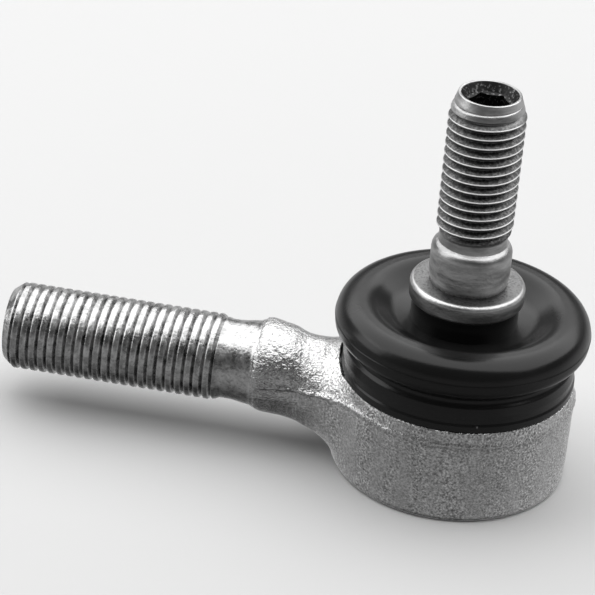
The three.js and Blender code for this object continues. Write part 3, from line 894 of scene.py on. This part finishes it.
def acetal_material():
    """Natural moulded acetal, off white with a fine grain."""
    surface = Surface("natural_acetal", Metallic=0.0)
    tone = surface.mix(surface.noise(300), (0.8, 0.78, 0.7, 1), (0.87, 0.85, 0.79, 1))
    surface.colour(tone)
    surface.roughness(surface.ramp(surface.noise(900), (0.3, 0.4), (0.7, 0.55)))
    surface.bump(surface.noise(1600), 0.00002, 0.3)
    return surface.material


def spring_material():
    """Dark hardened steel of the spring, the plate and the boot's rings."""
    surface = Surface("hardened_steel", Metallic=1.0)
    tone = surface.mix(surface.noise(400, detail=4), grey(0.2), grey(0.34))
    surface.colour(tone)
    surface.roughness(surface.ramp(surface.noise(900), (0.3, 0.28), (0.7, 0.45)))
    surface.bump(surface.noise(2000), 0.00002, 0.3)
    return surface.material


# ---- Pieces ---------------------------------------------------------------------------------

ZINC, THREAD_ZINC, STUD_STEEL = zinc_material(), thread_zinc_material(), stud_material()
RUBBER, ACETAL, SPRING_STEEL = rubber_material(), acetal_material(), spring_material()


def add_piece(piece, body, node, slot, *materials):
    """Gives a piece its materials and its place in the frame. A blended piece rides no body."""
    for material in materials:
        piece.data.materials.append(material)
    if body:
        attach(piece, body)
    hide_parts(node)


housing = make_housing()
add_piece(housing, "housing", "housing", "zinc_steel", ZINC, THREAD_ZINC)
for polygon in housing.data.polygons:
    if polygon.center.x < NECK_START_X * MM:
        polygon.material_index = 1

add_piece(make_stud(), "ball_stud", "ball_stud", "turned_steel", STUD_STEEL)
add_piece(make_cover(), "housing", "end_cover", "zinc_steel", ZINC)

boot = make_boot()
add_piece(boot, None, "dust_boot", "rubber", RUBBER)
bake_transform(boot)

CARRIED_OVER = {
    "upper_bearing_seat": ACETAL,
    "lower_bearing_seat": ACETAL,
    "pressure_plate": SPRING_STEEL,
    "preload_spring": SPRING_STEEL,
    "cover_seal": RUBBER,
    "boot_lower_ring": SPRING_STEEL,
    "boot_upper_ring": SPRING_STEEL,
}
for node, material in CARRIED_OVER.items():
    slots = frame["nodes"][node].data.materials
    slots.clear()
    slots.append(material)

# ---- Floor and light ------------------------------------------------------------------------

# How bright the room is from straight down, 0, through the horizon, 0.5, to straight up, 1.
WORLD_LEVELS = (
    (0.0, 0.04), (0.05, 0.15), (0.14, 0.31), (0.25, 0.35),
    (0.4, 0.42), (0.5, 0.32), (0.56, 0.12), (1.0, 0.09),
)
# How much brighter it gets along an axis: where the rise starts, where it ends, and the gain there.
WORLD_GAINS = (("Y", 0.1, 0.8, 1.8), ("X", -0.4, -0.9, 1.15), ("X", 0.7, 0.87, 1.5))


def add_floor():
    """A plain pale floor, which no glossy surface reflects."""
    half = 3.0
    graph = bmesh.new()
    corners = [graph.verts.new((x * half, y * half, 0)) for x, y in ((-1, -1), (1, -1), (1, 1), (-1, 1))]
    graph.faces.new(corners)
    mesh = bpy.data.meshes.new("floor")
    graph.to_mesh(mesh)
    graph.free()
    floor = bpy.data.objects.new("floor", mesh)
    bpy.context.scene.collection.objects.link(floor)
    surface = Surface("floor", Roughness=0.9, Specular_IOR_Level=0.1)
    surface.colour(surface.mix(surface.noise(4), grey(0.46), grey(0.48)))
    mesh.materials.append(surface.material)
    floor.visible_glossy = False


def add_softbox(name, place, target, size, watts):
    """A rectangular lamp at a place, turned to a target."""
    data = bpy.data.lights.new(name, "AREA")
    data.shape = "RECTANGLE"
    data.size, data.size_y = size
    data.energy = watts
    light = bpy.data.objects.new(name, data)
    bpy.context.scene.collection.objects.link(light)
    light.location = place
    light.rotation_euler = (Vector(target) - Vector(place)).to_track_quat("-Z", "Y").to_euler()


def add_world():
    """A plain studio room: darkest above the horizon, brighter low down, behind and at the sides."""
    world = bpy.data.worlds.new("studio")
    world.use_nodes = True
    nodes, links = world.node_tree.nodes, world.node_tree.links
    direction = nodes.new("ShaderNodeSeparateXYZ")
    links.new(nodes.new("ShaderNodeTexCoord").outputs["Generated"], direction.inputs["Vector"])
    height = nodes.new("ShaderNodeMapRange")
    height.inputs["From Min"].default_value = -1
    links.new(direction.outputs["Z"], height.inputs["Value"])
    ramp = nodes.new("ShaderNodeValToRGB")
    elements = ramp.color_ramp.elements
    for index, (position, level) in enumerate(WORLD_LEVELS):
        element = elements[index] if index < 2 else elements.new(position)
        element.position = position
        element.color = grey(level)
    links.new(height.outputs["Result"], ramp.inputs["Fac"])
    links.new(ramp.outputs["Color"], nodes["Background"].inputs["Color"])
    gains = []
    for axis, near, far, gain in WORLD_GAINS:
        rise = nodes.new("ShaderNodeMapRange")
        rise.inputs["From Min"].default_value = near
        rise.inputs["From Max"].default_value = far
        rise.inputs["To Min"].default_value = 1
        rise.inputs["To Max"].default_value = gain
        links.new(direction.outputs[axis], rise.inputs["Value"])
        gains.append(rise.outputs["Result"])
    strength = gains[0]
    for gain in gains[1:]:
        product = nodes.new("ShaderNodeMath")
        product.operation = "MULTIPLY"
        links.new(strength, product.inputs[0])
        links.new(gain, product.inputs[1])
        strength = product.outputs[0]
    links.new(strength, nodes["Background"].inputs["Strength"])
    bpy.context.scene.world = world


def add_light():
    """A long softbox overhead that reaches well behind the object, and a small one on the left."""
    add_softbox("overhead", (-0.03, 0.22, 0.56), (-0.03, 0.1, 0), (1.9, 1.1), 18)
    add_softbox("left", (-0.75, -0.1, 0.3), (-0.02, 0, 0.02), (0.45, 0.45), 1.6)
    bpy.context.scene.view_settings.view_transform = "Standard"


add_floor()
add_world()
add_light()
